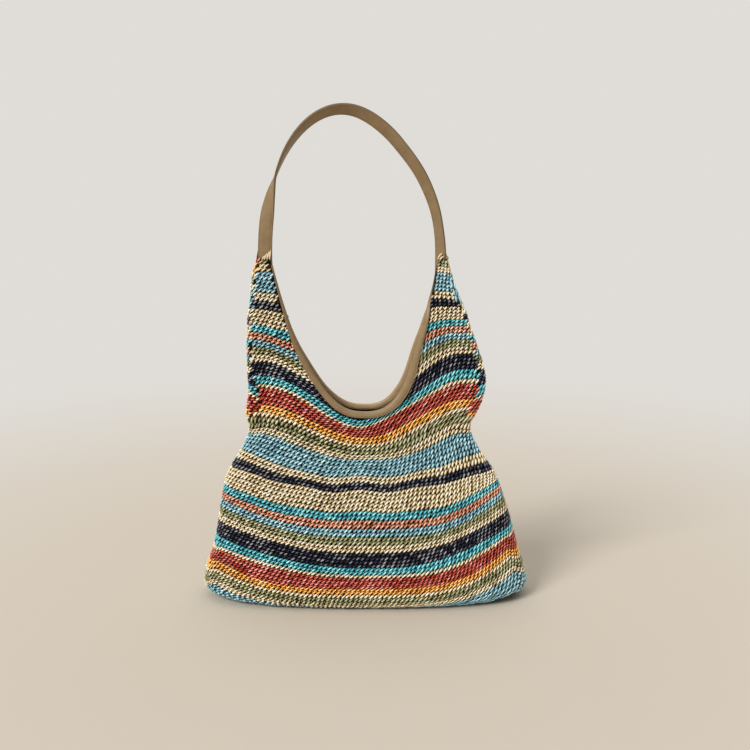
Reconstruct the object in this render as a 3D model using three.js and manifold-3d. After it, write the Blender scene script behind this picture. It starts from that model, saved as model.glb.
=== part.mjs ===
// A slouchy shoulder tote: a crochet body with two horns beside a U-shaped mouth,
// a folded leather binding on the front and back edge of the mouth, and a twisted
// leather strap tucked into the horn tips.
// Millimetres, +Z up. The front faces -Y, and the origin lies under the middle of the base.

import * as THREE from "three";
import { mergeVertices } from "three/addons/utils/BufferGeometryUtils.js";
import Module from "manifold-3d";

const wasm = await Module();
wasm.setup();
const { smoothstep, degToRad, lerp } = THREE.MathUtils;
const UPRIGHT = new THREE.Vector3(0, 0, 1);

// Body outline: the flat base, the belly above its rounded edge, the slouched waist and the horns
const BASE_WIDTH = 300;
const BASE_DEPTH = 84;
const BELLY_WIDTH = 360;
const BELLY_DEPTH = 116;
const BELLY_Z = 17;
const HIP_WIDTH = 336;
const HIP_Z = 60;
const FLANK_WIDTH = 300;
const FLANK_Z = 132;
const WAIST_WIDTH = 243;
const WAIST_DEPTH = 40;
const WAIST_Z = 193;
const SHOULDER_WIDTH = 258;
const SHOULDER_DEPTH = 28;
const SHOULDER_Z = 236;
const HORN_WIDTH = 231;
const HORN_Z = 315;
const TIP_Z = 373;

// Roundness of the body's section: 2 is an ellipse, and more is squarer
const BASE_ROUNDNESS = 2.5;
const WAIST_ROUNDNESS = 2.3;
const TIP_ROUNDNESS = 8;

// Crochet: the wall, its ridges of two rows each, and how far the rows rise towards the sides
const WALL = 3.2;
const RIDGE_PITCH = 8.4;
const RIDGE_DEPTH = 1.1;
const SIDE_LIFT = 28;

// Slouch: the body sways, the horns lean to the left, and a pleat runs down each side of the front
// from the tip to the waist
const FLANK_LEAN = -4;
const WAIST_LEAN = -6;
const SHOULDER_LEAN = 2;
const HORN_LEAN = -12.5;
const MOUTH_LEAN = -10;
const THROAT_LEAN = -9;
const THROAT_Z = 290;
const PLEAT_INSET = 18;
const PLEAT_HALF = 5;
const PLEAT_DEPTH = 6;
const PLEAT_DROP = 15;
const PLEAT_FADE = 26;
const BACK_FADE = 60;

// The right horn is turned about its own upright axis
const LEFT_TURN = degToRad(0);
const RIGHT_TURN = degToRad(-48);
const TURN_Z = 308;

// Mouth: the height of its lowest point and the power of its U
const MOUTH_Z = 211;
const MOUTH_POWER = 2.6;

// Leather: the strap, its tucked ends and its arch, and the folded binding
const STRAP_WIDTH = 15;
const STRAP_THICK = 2.6;
const STRAP_CHAMFER = 0.8;
const STRAP_TUCK = 16;
const STRAP_OVERHANG = 5;
const STRAP_SPAN = 184;
const ARCH_RISE = 152;
const ARCH_LEAN = -9;
const CROSSING_SHARE = 0.2;
const TOP_SHARE = 0.5;
const TOP_ROLL = degToRad(42);
const RIGHT_SHARE = 0.86;
const RIGHT_ROLL = degToRad(32);
const BINDING_THICK = 1.2;
const BINDING_COVER = 6;
const BINDING_TIP_COVER = 3;

// Clearances: between sewn layers, beside the strap's edges and faces in its pocket, and below its end
const FIT = 0.35;
const POCKET_ROOM = 1.8;
const POCKET_CROWN = 0.42;
const END_GAP = 3;

// Facets: points in a quarter of the section, crowded towards the sides, steps along the other pieces,
// how far the cutting solids reach past the body, and the distance at which points are one
const QUARTER = 8;
const SIDE_CROWDING = 2;
const BASE_STEPS = 3;
const LINING_PITCH = 13;
const MOUTH_STEPS = 14;
const MOUTH_CROWDING = 0.75;
const STRAP_STEPS = 48;
const MARGIN = 20;
const MERGE_DISTANCE = 1e-4;

// Sizes that follow from the strap, which the horn tips close around
const strapX = STRAP_SPAN / 2;
const tipHalfDepth = STRAP_THICK / 2 + FIT + POCKET_CROWN + WALL;
const tipHalfWidth = strapX + STRAP_WIDTH / 2 + POCKET_ROOM + WALL;
const mouthHalf = strapX - STRAP_WIDTH / 2 + STRAP_OVERHANG;
const tuckZ = TIP_Z - STRAP_TUCK;
const bindingTopZ = tuckZ - END_GAP;
const skinTopZ = TIP_Z + MARGIN;

// A smooth profile through [height, value] stations, level at its peaks and constant beyond its ends
function profile(stations) {
  const rate = ([z0, value0], [z1, value1]) => (value1 - value0) / (z1 - z0);
  const slopes = stations.map((station, i) => {
    if (i === 0 || i === stations.length - 1) return 0;
    const below = rate(stations[i - 1], station);
    const above = rate(station, stations[i + 1]);
    return below * above <= 0 ? 0 : (2 * below * above) / (below + above);
  });
  return (height) => {
    const z = THREE.MathUtils.clamp(height, stations[0][0], stations.at(-1)[0]);
    const i = Math.max(0, stations.findIndex(([top]) => z <= top) - 1);
    const [z0, value0] = stations[i];
    const [z1, value1] = stations[i + 1];
    const span = z1 - z0;
    const t = (z - z0) / span;
    const ease = t * t * (3 - 2 * t);
    const bend0 = slopes[i] * span * t * (1 - t) * (1 - t);
    const bend1 = slopes[i + 1] * span * t * t * (t - 1);
    return lerp(value0, value1, ease) + bend0 + bend1;
  };
}

const wallHalfWidth = profile([
  [BELLY_Z, BELLY_WIDTH / 2],
  [HIP_Z, HIP_WIDTH / 2],
  [FLANK_Z, FLANK_WIDTH / 2],
  [WAIST_Z, WAIST_WIDTH / 2],
  [SHOULDER_Z, SHOULDER_WIDTH / 2],
  [HORN_Z, HORN_WIDTH / 2],
  [TIP_Z, tipHalfWidth],
]);
const wallHalfDepth = profile([
  [BELLY_Z, BELLY_DEPTH / 2],
  [WAIST_Z, WAIST_DEPTH / 2],
  [SHOULDER_Z, SHOULDER_DEPTH / 2],
  [tuckZ, tipHalfDepth],
]);
const roundness = profile([
  [BELLY_Z, BASE_ROUNDNESS],
  [WAIST_Z, WAIST_ROUNDNESS],
  [SHOULDER_Z, WAIST_ROUNDNESS],
  [tuckZ, TIP_ROUNDNESS],
]);
const lean = profile([
  [HIP_Z, 0],
  [FLANK_Z, FLANK_LEAN],
  [WAIST_Z, WAIST_LEAN],
  [SHOULDER_Z, SHOULDER_LEAN],
  [TIP_Z, HORN_LEAN],
]);
const mouthLean = profile([
  [MOUTH_Z, 0],
  [THROAT_Z, THROAT_LEAN],
  [TIP_Z, MOUTH_LEAN],
]);

// Half width and half depth of the body at a height, with the base's edge a quarter of an ellipse
function halfSizes(z) {
  const below = THREE.MathUtils.clamp(1 - z / BELLY_Z, 0, 1);
  const flare = Math.sqrt(1 - below * below);
  return {
    width: wallHalfWidth(z) - (1 - flare) * (BELLY_WIDTH - BASE_WIDTH) / 2,
    depth: wallHalfDepth(z) - (1 - flare) * (BELLY_DEPTH - BASE_DEPTH) / 2,
  };
}

// A quarter of the body's section, from its side to the middle of its front or back
class SectionQuarter extends THREE.Curve {
  constructor(halfWidth, halfDepth, power) {
    super();
    Object.assign(this, { halfWidth, halfDepth, power });
  }

  getPoint(t, target = new THREE.Vector3()) {
    const angle = (t * Math.PI) / 2;
    return target.set(
      this.halfWidth * Math.max(0, Math.cos(angle)) ** (2 / this.power),
      this.halfDepth * Math.sin(angle) ** (2 / this.power),
      0,
    );
  }
}

// A point of the body's skin: a share of a quarter section, on a row named by its height in the middle
function skinPoint(share, right, back, rowZ, inset) {
  const risen = rowZ + SIDE_LIFT * smoothstep(rowZ, BELLY_Z, MOUTH_Z) * (1 - share) ** 2;
  const level = halfSizes(risen);
  const reach = share * new SectionQuarter(level.width, level.depth, roundness(risen)).getLength();
  const slouched = smoothstep(risen, WAIST_Z - PLEAT_FADE, WAIST_Z + PLEAT_FADE);
  const sagging = back > 0
    ? 1 - smoothstep(reach, 0, BACK_FADE)
    : 1 - smoothstep(reach, PLEAT_INSET - PLEAT_HALF, PLEAT_INSET + PLEAT_HALF);
  const z = risen - PLEAT_DROP * slouched * sagging;

  const half = halfSizes(z);
  const wall = smoothstep(z, 0, BELLY_Z);
  const quarter = new SectionQuarter(half.width - inset * wall, half.depth - inset * wall, roundness(z));
  const point = quarter.getPointAt(share);
  const shallow = (half.depth - tipHalfDepth) / (SHOULDER_DEPTH / 2 - tipHalfDepth);
  const crease = back > 0 ? 0 : Math.exp(-(((reach - PLEAT_INSET) / PLEAT_HALF) ** 2));
  const dent = PLEAT_DEPTH * slouched * crease * Math.min(1, shallow);
  return new THREE.Vector3(
    lean(z) + right * point.x,
    back * (point.y - dent),
    z + inset * (1 - wall),
  );
}

// One closed ring of the skin, counted from the right side towards the back
function skinRing(rowZ, inset) {
  return Array.from({ length: 4 * QUARTER }, (_, i) => {
    const quadrant = Math.floor(i / QUARTER);
    const step = i % QUARTER;
    const share = ((quadrant % 2 ? QUARTER - step : step) / QUARTER) ** SIDE_CROWDING;
    return skinPoint(share, quadrant % 3 === 0 ? 1 : -1, quadrant < 2 ? 1 : -1, rowZ, inset);
  });
}

// Closes a stack of equal rings into one surface, with a fan at each end
function loft(rings) {
  const count = rings[0].length;
  const centre = (ring) => ring.reduce((sum, p) => sum.add(p), new THREE.Vector3()).divideScalar(count);
  const points = [...rings.flat(), centre(rings[0]), centre(rings.at(-1))];
  const bottom = rings.length * count;
  const index = [];
  for (let i = 0; i < count; i++) {
    const next = (i + 1) % count;
    index.push(bottom, next, i);
    for (let r = 0; r + 1 < rings.length; r++) {
      const low = r * count;
      const high = low + count;
      index.push(low + i, low + next, high + next, low + i, high + next, high + i);
    }
    index.push(bottom + 1, bottom - count + i, bottom - count + next);
  }
  return new THREE.BufferGeometry().setFromPoints(points).setIndex(index);
}

// A solid for joining and cutting, from a closed geometry
function solid(geometry) {
  const bare = geometry.clone();
  bare.deleteAttribute("normal");
  bare.deleteAttribute("uv");
  const merged = mergeVertices(bare, MERGE_DISTANCE);
  return new wasm.Manifold(
    new wasm.Mesh({
      numProp: 3,
      vertProperties: merged.attributes.position.array,
      triVerts: Uint32Array.from(merged.index.array),
    }),
  );
}

// A named mesh of a solid, with its points moved by a mapping
function mesh(name, body, material, map) {
  const { vertProperties, triVerts } = body.getMesh();
  const geometry = new THREE.BufferGeometry();
  geometry.setAttribute("position", new THREE.BufferAttribute(new Float32Array(vertProperties), 3));
  geometry.setIndex(new THREE.BufferAttribute(triVerts, 1));
  const position = geometry.attributes.position;
  const point = new THREE.Vector3();
  for (let i = 0; i < position.count; i++) {
    map(point.fromBufferAttribute(position, i));
    position.setXYZ(i, point.x, point.y, point.z);
  }
  geometry.computeVertexNormals();
  const made = new THREE.Mesh(geometry, material);
  made.name = name;
  return made;
}

// Heights of the rings round the base's edge
function baseHeights() {
  return Array.from({ length: BASE_STEPS }, (_, i) => {
    const angle = ((i / BASE_STEPS) * Math.PI) / 2;
    return BELLY_Z * (1 - Math.cos(angle));
  });
}

// A smooth skin of the body, inset from its outer face
function smoothSkin(inset) {
  const rows = Math.ceil((skinTopZ - BELLY_Z) / LINING_PITCH);
  const heights = Array.from({ length: rows + 1 }, (_, i) => BELLY_Z + i * LINING_PITCH);
  return solid(loft([...baseHeights(), ...heights].map((z) => skinRing(z, inset))));
}

// The outer skin, with a ridge for every two rows of crochet
function ridgedSkin() {
  const rows = Math.ceil((2 * (skinTopZ - BELLY_Z)) / RIDGE_PITCH);
  const ridges = Array.from({ length: rows + 1 }, (_, i) =>
    skinRing(BELLY_Z + (i * RIDGE_PITCH) / 2, i % 2 ? RIDGE_DEPTH : 0),
  );
  return solid(loft([...baseHeights().map((z) => skinRing(z, 0)), ...ridges]));
}

// The mouth's edge from left to right and on past the tips, moved into the wall by a narrowing cover
function mouthEdge(cover, tipCover) {
  const rise = TIP_Z - MOUTH_Z;
  const reach = mouthHalf * ((skinTopZ - MOUTH_Z) / rise) ** (1 / MOUTH_POWER);
  return Array.from({ length: 2 * MOUTH_STEPS + 1 }, (_, i) => {
    const share = i / MOUTH_STEPS - 1;
    const x = reach * Math.sign(share) * Math.abs(share) ** MOUTH_CROWDING;
    const z = MOUTH_Z + rise * Math.abs(x / mouthHalf) ** MOUTH_POWER;
    const slope = (MOUTH_POWER * (z - MOUTH_Z)) / (x || 1);
    const intoWall = new THREE.Vector2(slope, -1).normalize();
    const depth = lerp(cover, tipCover, (z - MOUTH_Z) / rise);
    return new THREE.Vector2(x, z).addScaledVector(intoWall, depth);
  });
}

// All that lies above the mouth's edge, as a prism from front to back that leans upwards
function aboveMouth(cover, tipCover = cover) {
  const edge = mouthEdge(cover, tipCover);
  const roof = (point) => new THREE.Vector2(point.x, skinTopZ + SIDE_LIFT + MARGIN);
  const outline = [...edge, roof(edge.at(-1)), roof(edge[0])];
  const shape = new THREE.Shape(outline.map(({ x, y: z }) => new THREE.Vector2(x + mouthLean(z), z)));
  const depth = BELLY_DEPTH + MARGIN;
  const geometry = new THREE.ExtrudeGeometry(shape, { depth, bevelEnabled: false });
  geometry.rotateX(Math.PI / 2);
  geometry.translate(0, depth / 2, 0);
  return solid(geometry);
}

// All that lies above a level
function aboveLevel(level) {
  const height = skinTopZ + SIDE_LIFT + MARGIN - level;
  const block = new THREE.BoxGeometry(BELLY_WIDTH, BELLY_DEPTH, height);
  return solid(block.translate(0, 0, level + height / 2));
}

// The horns' turn about their own upright axes, full where the strap's ends begin
function turnHorns(point) {
  const right = Math.sign(point.x - lean(point.z));
  const turn = (right > 0 ? RIGHT_TURN : LEFT_TURN) * smoothstep(point.z, TURN_Z, bindingTopZ);
  const axis = new THREE.Vector3(lean(point.z) + right * strapX, 0, 0);
  point.sub(axis).applyAxisAngle(UPRIGHT, turn).add(axis);
}

function crochetBody() {
  return ridgedSkin().subtract(smoothSkin(WALL)).subtract(aboveMouth(0)).subtract(aboveLevel(TIP_Z));
}

// Both bindings: a folded strip that holds the wall's edge with a clearance all round
function bindings() {
  const strip = smoothSkin(-FIT - BINDING_THICK)
    .subtract(smoothSkin(WALL + FIT + BINDING_THICK))
    .intersect(aboveMouth(BINDING_COVER, BINDING_TIP_COVER))
    .subtract(aboveMouth(-FIT - BINDING_THICK))
    .subtract(aboveLevel(bindingTopZ));
  const heldEdge = smoothSkin(-FIT).subtract(smoothSkin(WALL + FIT)).subtract(aboveMouth(-FIT));
  return strip.subtract(heldEdge);
}

// Half of space in front of the middle plane, or behind it
function halfSpace(back) {
  const size = 2 * (BELLY_WIDTH + skinTopZ);
  return solid(new THREE.BoxGeometry(size, size, size).translate(0, (back * size) / 2, 0));
}

// The strap's middle line: up out of the left horn, over a leaning half ellipse and down into the right horn
function strapPoint(share) {
  const angle = Math.PI * (1 - share);
  return new THREE.Vector3(
    lean(TIP_Z) + strapX * Math.cos(angle) + ARCH_LEAN * Math.sin(angle),
    0,
    TIP_Z + ARCH_RISE * Math.sin(angle),
  );
}

// The strap's roll about its middle line, from facing the front at the left to the right horn's turn
const strapRoll = profile([
  [0, LEFT_TURN - Math.PI / 2],
  [CROSSING_SHARE, 0],
  [TOP_SHARE, TOP_ROLL],
  [RIGHT_SHARE, RIGHT_ROLL],
  [1, RIGHT_TURN + Math.PI / 2],
]);

// One section of the strap, square to its middle line, with its corners cut
function strapRing(centre, along, roll) {
  const back = new THREE.Vector3(0, 1, 0);
  const outward = new THREE.Vector3().crossVectors(along, back).normalize();
  const face = outward.clone().multiplyScalar(Math.cos(roll)).addScaledVector(back, Math.sin(roll));
  const across = new THREE.Vector3().crossVectors(face, along).normalize();
  const w = STRAP_WIDTH / 2;
  const t = STRAP_THICK / 2;
  const cut = STRAP_CHAMFER;
  const corners = [
    [w, t - cut], [w - cut, t], [cut - w, t], [-w, t - cut],
    [-w, cut - t], [cut - w, -t], [w - cut, -t], [w, cut - t],
  ];
  return corners.map(([u, v]) => centre.clone().addScaledVector(across, u).addScaledVector(face, v));
}

function shoulderStrap() {
  const down = UPRIGHT.clone().negate();
  const tucked = (share) => strapPoint(share).setZ(tuckZ);
  const near = 1 / (2 * STRAP_STEPS);
  const rings = [strapRing(tucked(0), UPRIGHT, strapRoll(0))];
  for (let i = 0; i <= STRAP_STEPS; i++) {
    const share = i / STRAP_STEPS;
    const ahead = strapPoint(Math.min(1, share + near));
    const along = ahead.sub(strapPoint(Math.max(0, share - near))).normalize();
    if (i === 0) along.copy(UPRIGHT);
    if (i === STRAP_STEPS) along.copy(down);
    rings.push(strapRing(strapPoint(share), along, strapRoll(share)));
  }
  rings.push(strapRing(tucked(1), down, strapRoll(1)));
  return solid(loft(rings));
}

const straw = new THREE.MeshStandardMaterial({ color: 0xc9b48c, roughness: 0.8, metalness: 0 });
const leather = new THREE.MeshStandardMaterial({ color: 0x9c845f, roughness: 0.55, metalness: 0 });
const strapLeather = leather.clone();
const backLeather = leather.clone();
const bindingPair = bindings();
const still = () => {};

const tote = new THREE.Group();
tote.name = "tote_bag";
tote.add(
  mesh("crochet_body", crochetBody(), straw, turnHorns),
  mesh("front_mouth_binding", bindingPair.intersect(halfSpace(-1)), leather, turnHorns),
  mesh("back_mouth_binding", bindingPair.intersect(halfSpace(1)), backLeather, turnHorns),
  mesh("shoulder_strap", shoulderStrap(), strapLeather, still),
);

export default tote;
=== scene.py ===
"""Looks of the crochet tote bag: a stitched straw body, leather bindings and a twisted leather strap."""

import logging
import math
from dataclasses import dataclass, field
from enum import Enum
from typing import Callable, Iterator, Sequence

import bmesh
import bpy
import numpy as np
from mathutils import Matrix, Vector


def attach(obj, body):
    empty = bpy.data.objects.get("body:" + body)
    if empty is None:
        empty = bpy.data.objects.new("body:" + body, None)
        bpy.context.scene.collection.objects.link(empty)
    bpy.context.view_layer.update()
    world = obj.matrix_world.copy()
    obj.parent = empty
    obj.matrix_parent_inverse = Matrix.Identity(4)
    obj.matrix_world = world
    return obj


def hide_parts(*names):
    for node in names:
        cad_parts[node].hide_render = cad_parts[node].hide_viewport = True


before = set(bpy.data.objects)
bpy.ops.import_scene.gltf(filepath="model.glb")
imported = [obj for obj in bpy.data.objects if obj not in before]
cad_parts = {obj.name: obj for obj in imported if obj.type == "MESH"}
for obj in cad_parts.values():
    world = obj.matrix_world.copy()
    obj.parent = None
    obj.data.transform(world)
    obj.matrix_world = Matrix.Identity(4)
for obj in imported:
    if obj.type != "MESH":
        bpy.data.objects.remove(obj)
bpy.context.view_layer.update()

LOG = logging.getLogger("tote_bag")
MM = 0.001
TINY = 1e-9
SEED = 7
BODY = "root"
Place = Callable[[np.ndarray, np.ndarray], np.ndarray]


def smoothstep(value: np.ndarray, low: float | np.ndarray, high: float) -> np.ndarray:
    """Gives 0 below low, 1 above high and a smooth rise between them."""
    share = np.clip((value - low) / (high - low), 0.0, 1.0)
    return share * share * (3.0 - 2.0 * share)


def hex_colour(code: str, shade: float = 1.0) -> tuple[float, float, float, float]:
    """Turns an sRGB hex colour into a linear one.

    Args:
        code: Six hex digits with a leading hash sign.
        shade: Factor on the linear colour.

    Returns:
        Linear red, green, blue and an alpha of 1.
    """
    parts = [int(code[i:i + 2], 16) / 255.0 for i in (1, 3, 5)]
    linear = [c / 12.92 if c <= 0.04045 else ((c + 0.055) / 1.055) ** 2.4 for c in parts]
    return (*(shade * c for c in linear), 1.0)


class Profile:
    """A smooth curve through given stations, level at its peaks and constant beyond its ends."""

    def __init__(self, *stations: tuple[float, float]) -> None:
        """Works out the slope at each station.

        Args:
            stations: Pairs of position and value, in rising order of position.
        """
        self.at, self.value = np.array(stations, float).T
        rates = np.diff(self.value) / np.diff(self.at)
        product = rates[:-1] * rates[1:]
        total = np.where(product > 0, rates[:-1] + rates[1:], 1.0)
        inner = np.where(product > 0, 2.0 * product / total, 0.0)
        self.slope = np.concatenate(([0.0], inner, [0.0]))

    def __call__(self, position: np.ndarray) -> np.ndarray:
        """Reads the curve.

        Args:
            position: Positions along the curve.

        Returns:
            The curve's values there.
        """
        p = np.clip(position, self.at[0], self.at[-1])
        i = np.clip(np.searchsorted(self.at, p) - 1, 0, len(self.at) - 2)
        span = self.at[i + 1] - self.at[i]
        t = (p - self.at[i]) / span
        eased = self.value[i] + (self.value[i + 1] - self.value[i]) * t * t * (3.0 - 2.0 * t)
        bend = self.slope[i] * t * (1.0 - t) ** 2 + self.slope[i + 1] * t * t * (t - 1.0)
        return eased + bend * span


class Named(Enum):
    """Options that also give their names in small letters."""

    @property
    def label(self) -> str:
        """The option's name in small letters."""
        return self.name.lower()


class Side(Named):
    """The two faces of the bag, with the sign of their Y."""

    FRONT = -1
    BACK = 1


class Horn(Named):
    """The two horns of the bag, with the sign of their X."""

    LEFT = -1
    RIGHT = 1


class Yarn(Named):
    """The straw yarns by name and dyed colour."""

    LIGHT_BLUE = "#8DBECC"
    CREAM = "#EED9AF"
    GREEN = "#9B996C"
    ORANGE = "#FFB14C"
    RED = "#C04A37"
    TEAL = "#59BBC8"
    NAVY = "#14182F"
    TERRACOTTA = "#DF9575"


@dataclass(frozen=True)
class Stripe:
    """Some rows of one yarn, counted from the base's edge upwards."""

    yarn: Yarn
    first: int
    rows: int


def stripes() -> Iterator[Stripe]:
    """Lists the stripes from the base upwards.

    Returns:
        The stripes of the base and of a repeat that runs up into the horns' tips.
    """
    repeat = (
        (Yarn.LIGHT_BLUE, 5), (Yarn.CREAM, 2), (Yarn.GREEN, 2), (Yarn.CREAM, 1), (Yarn.ORANGE, 2),
        (Yarn.RED, 4), (Yarn.CREAM, 1), (Yarn.TEAL, 2), (Yarn.NAVY, 4), (Yarn.CREAM, 2),
        (Yarn.GREEN, 2), (Yarn.LIGHT_BLUE, 2), (Yarn.TERRACOTTA, 2), (Yarn.TEAL, 2), (Yarn.CREAM, 4),
        (Yarn.NAVY, 2), (Yarn.CREAM, 2),
    )
    repeats = 3
    wide_cream = 14
    first = 0
    for turn in range(repeats):
        for i, (yarn, rows) in enumerate(repeat):
            # The upper cream stripe of the first repeat has one row more.
            count = rows + 1 if turn == 0 and i == wide_cream else rows
            if first < BagForm.LAST_ROW:
                yield Stripe(yarn, first, min(count, BagForm.LAST_ROW - first))
            first += count


@dataclass(frozen=True)
class SideCourse:
    """How the rows and the pleat run on one side of the bag.

    The rows' heights at the side, and how soon the rows get there, go by the row. The rest goes by the
    level: the sag at the outline, the pleat's distance from the outline, and the drop and the slant of the
    cloth beyond the pleat, which has slid down.
    """

    heights: Profile
    power: Profile
    level_share: Profile
    sag: Profile
    pleat_inset: Profile
    drop: Profile
    slant: Profile


@dataclass
class BagForm:
    """The slouched outer form of the crochet body, in millimetres.

    A point of it is named by its turn round the bag (0 at the right side, 1 at the back, 2 at the left side,
    3 at the front) and its level, which is its height on the wall and runs on round the base's edge and
    inwards under the base.
    """

    FULL_TURN = 4.0
    FIRST_ROW = -6
    LAST_ROW = 99
    ROWS = LAST_ROW - FIRST_ROW

    base_width: float = 300.0
    base_depth: float = 84.0
    belly_width: float = 360.0
    belly_depth: float = 116.0
    belly_z: float = 17.0
    edge_arc: float = 30.0
    hip_z: float = 60.0
    flank_z: float = 132.0
    waist_z: float = 193.0
    waist_depth: float = 40.0
    shoulder_z: float = 236.0
    shoulder_depth: float = 28.0
    tip_z: float = 373.0
    tuck_z: float = 357.0
    wall: float = 3.2
    fit: float = 0.35
    strap_x: float = 92.0
    tip_half_depth: float = 5.27
    horn_lean: float = -12.5
    mouth_z: float = 211.0
    mouth_power: float = 2.6
    mouth_half: float = 89.5
    edge_power: float = 0.75
    mouth_lean_tip: float = -10.0
    throat_z: float = 290.0
    throat_lean: float = -9.0
    right_turn: float = math.radians(-48.0)
    turn_z: float = 308.0
    binding_top_z: float = 354.0
    binding_end_z: float = 366.0
    pleat_half: float = 1.6
    pleat_depth: float = 1.3
    pleat_low_z: float = 194.0
    pleat_high_z: float = 206.0
    tuck_reach: float = 22.0
    sag_reach: float = 14.0
    wave_length: float = 63.0
    wave_dip: float = -33.0
    back_fade: float = 60.0
    over_tip: float = 40.0
    level_step: float = 1.5
    share_steps: int = 128

    def __post_init__(self) -> None:
        """Sets up the profiles and the table of section quarters."""
        self._set_outline()
        self._set_rows()
        self._fill_quarters()

    def _set_outline(self) -> None:
        """Sets up the profiles of the sections by their height."""
        self.half_width = Profile(
            (self.belly_z, self.belly_width / 2), (self.hip_z, 168.0), (self.flank_z, 150.0),
            (self.waist_z, 120.5), (203.0, 124.6), (215.0, 127.0), (245.0, 128.6), (280.0, 123.6),
            (310.0, 117.7), (337.0, 111.0), (351.0, 108.3), (364.0, 104.6), (self.tip_z, 101.0),
        )
        self.half_depth = Profile(
            (self.belly_z, self.belly_depth / 2), (self.waist_z, self.waist_depth / 2),
            (self.shoulder_z, self.shoulder_depth / 2), (self.tuck_z, self.tip_half_depth),
        )
        self.roundness = Profile(
            (self.belly_z, 2.5), (self.waist_z, 2.3), (self.shoulder_z, 2.3), (self.tuck_z, 8.0),
        )
        self.lean = Profile(
            (self.hip_z, 0.0), (self.flank_z, -4.0), (self.waist_z, -6.0), (self.shoulder_z, 2.0),
            (310.0, -7.6), (self.tip_z, self.horn_lean),
        )
        self.mouth_lean = Profile(
            (self.mouth_z, 0.0), (self.throat_z, self.throat_lean), (self.tip_z, self.mouth_lean_tip),
        )

    @property
    def under(self) -> float:
        """Level of the line under the base's middle."""
        return self.belly_z - self.edge_arc - self.base_depth / 2

    def _set_rows(self) -> None:
        """Sets up how the crochet rows run in the middle and on both sides."""
        self.levels = np.arange(self.under, self.tip_z + self.over_tip, self.level_step)
        self.middle_rows = Profile(
            (self.FIRST_ROW, self.under), (7, 5.0), (10, 20.3), (16, 38.7), (23, 65.3), (33, 107.7),
            (38, 128.8), (42, 143.6), (47, 161.0), (49, 166.0), (52, 177.6), (54, 184.5), (58, 193.6),
            (61, 202.6), (68, 235.0), (78, 297.0), (92, 367.0), (self.LAST_ROW, 397.0),
        )
        self.wave = Profile((28, 0.0), (37, 1.7), (42, 1.4), (50, 0.0))
        self.left = self._left_side()
        self.right = self._right_side()

    def _left_side(self) -> SideCourse:
        """Sets out how the rows and the pleat run on the left side.

        Returns:
            The left side's profiles.
        """
        return SideCourse(
            heights=Profile(
                (self.FIRST_ROW, self.under), (0, -4.0), (5, 25.0), (7, 30.0), (9, 36.5), (12, 50.5),
                (16, 60.0), (19, 72.5), (25, 95.8), (29, 112.0), (33, 127.3), (38, 147.7), (42, 166.4),
                (47, 188.5), (49, 193.5), (52, 209.3), (54, 217.2), (58, 235.0), (61, 248.0), (65, 263.5),
                (69, 280.0), (79, 321.0), (88, 359.8), (92, 376.0), (self.LAST_ROW, 404.0),
            ),
            power=Profile(
                (7, 2.0), (12, 2.3), (16, 1.3), (19, 1.2), (25, 1.5), (30, 1.85), (38, 1.45), (41, 1.65),
                (47, 1.05), (49, 0.96), (52, 1.0), (54, 0.9), (61, 0.93), (65, 1.25), (75, 1.0),
            ),
            level_share=Profile((46, 0.0), (49, 0.12), (52, 0.17), (65, 0.17), (75, 0.0)),
            sag=Profile((25.0, 14.0), (36.0, 7.0), (52.0, 7.0), (75.0, 0.0)),
            pleat_inset=Profile(
                (197.0, 0.0), (201.5, 6.0), (208.5, 11.2), (217.0, 16.2), (225.5, 14.2), (232.5, 11.7),
                (242.5, 9.0), (249.5, 7.0), (266.0, 5.3), (310.0, 4.8), (350.0, 4.8), (self.tip_z, 4.6),
            ),
            drop=Profile(
                (165.0, 0.0), (195.0, 4.5), (217.0, 5.0), (235.0, 7.5), (248.0, 8.6), (263.5, 12.7),
                (292.0, 17.0), (345.0, 18.5), (self.tip_z, 22.0),
            ),
            slant=Profile((214.0, 0.7), (235.0, 0.5), (250.0, 0.35), (262.0, 0.0)),
        )

    def _right_side(self) -> SideCourse:
        """Sets out how the rows and the pleat run on the right side.

        Returns:
            The right side's profiles.
        """
        return SideCourse(
            heights=Profile(
                (self.FIRST_ROW, self.under), (0, 14.0), (5, 41.0), (7, 47.5), (9, 55.5), (12, 66.0),
                (16, 76.5), (19, 84.5), (29, 120.5), (33, 132.5), (38, 144.5), (42, 164.0), (47, 190.0),
                (52, 215.0), (54, 223.5), (58, 240.0), (61, 256.0), (65, 272.5), (73, 302.0), (79, 322.8),
                (88, 358.4), (92, 371.5), (self.LAST_ROW, 401.0),
            ),
            power=Profile(
                (5, 1.8), (9, 2.3), (12, 2.3), (16, 2.1), (19, 1.55), (23, 1.75), (27, 2.35), (33, 2.7),
                (38, 1.45), (47, 1.55), (52, 1.45), (54, 1.38), (58, 0.92), (65, 0.95),
            ),
            level_share=Profile((47, 0.0), (52, 0.15), (54, 0.2)),
            sag=Profile((20.0, 14.0), (46.0, 11.0), (66.0, 8.0), (84.0, 0.0)),
            pleat_inset=Profile(
                (197.5, 0.0), (203.5, 7.9), (207.6, 11.6), (214.6, 12.6), (221.0, 11.4), (227.0, 8.8),
                (239.0, 7.6), (253.0, 7.0), (266.0, 5.6), (280.0, 4.6), (310.0, 3.7), (335.0, 2.8),
                (355.0, 0.0),
            ),
            drop=Profile(
                (165.0, 0.0), (190.0, 5.0), (205.0, 12.0), (215.0, 15.0), (240.0, 15.0), (250.0, 17.3),
                (272.0, 18.0), (330.0, 15.6), (355.0, 0.0),
            ),
            slant=Profile((205.0, 0.1), (222.0, 0.25), (228.0, 0.5), (236.0, 0.05), (245.0, 0.0)),
        )

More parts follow.
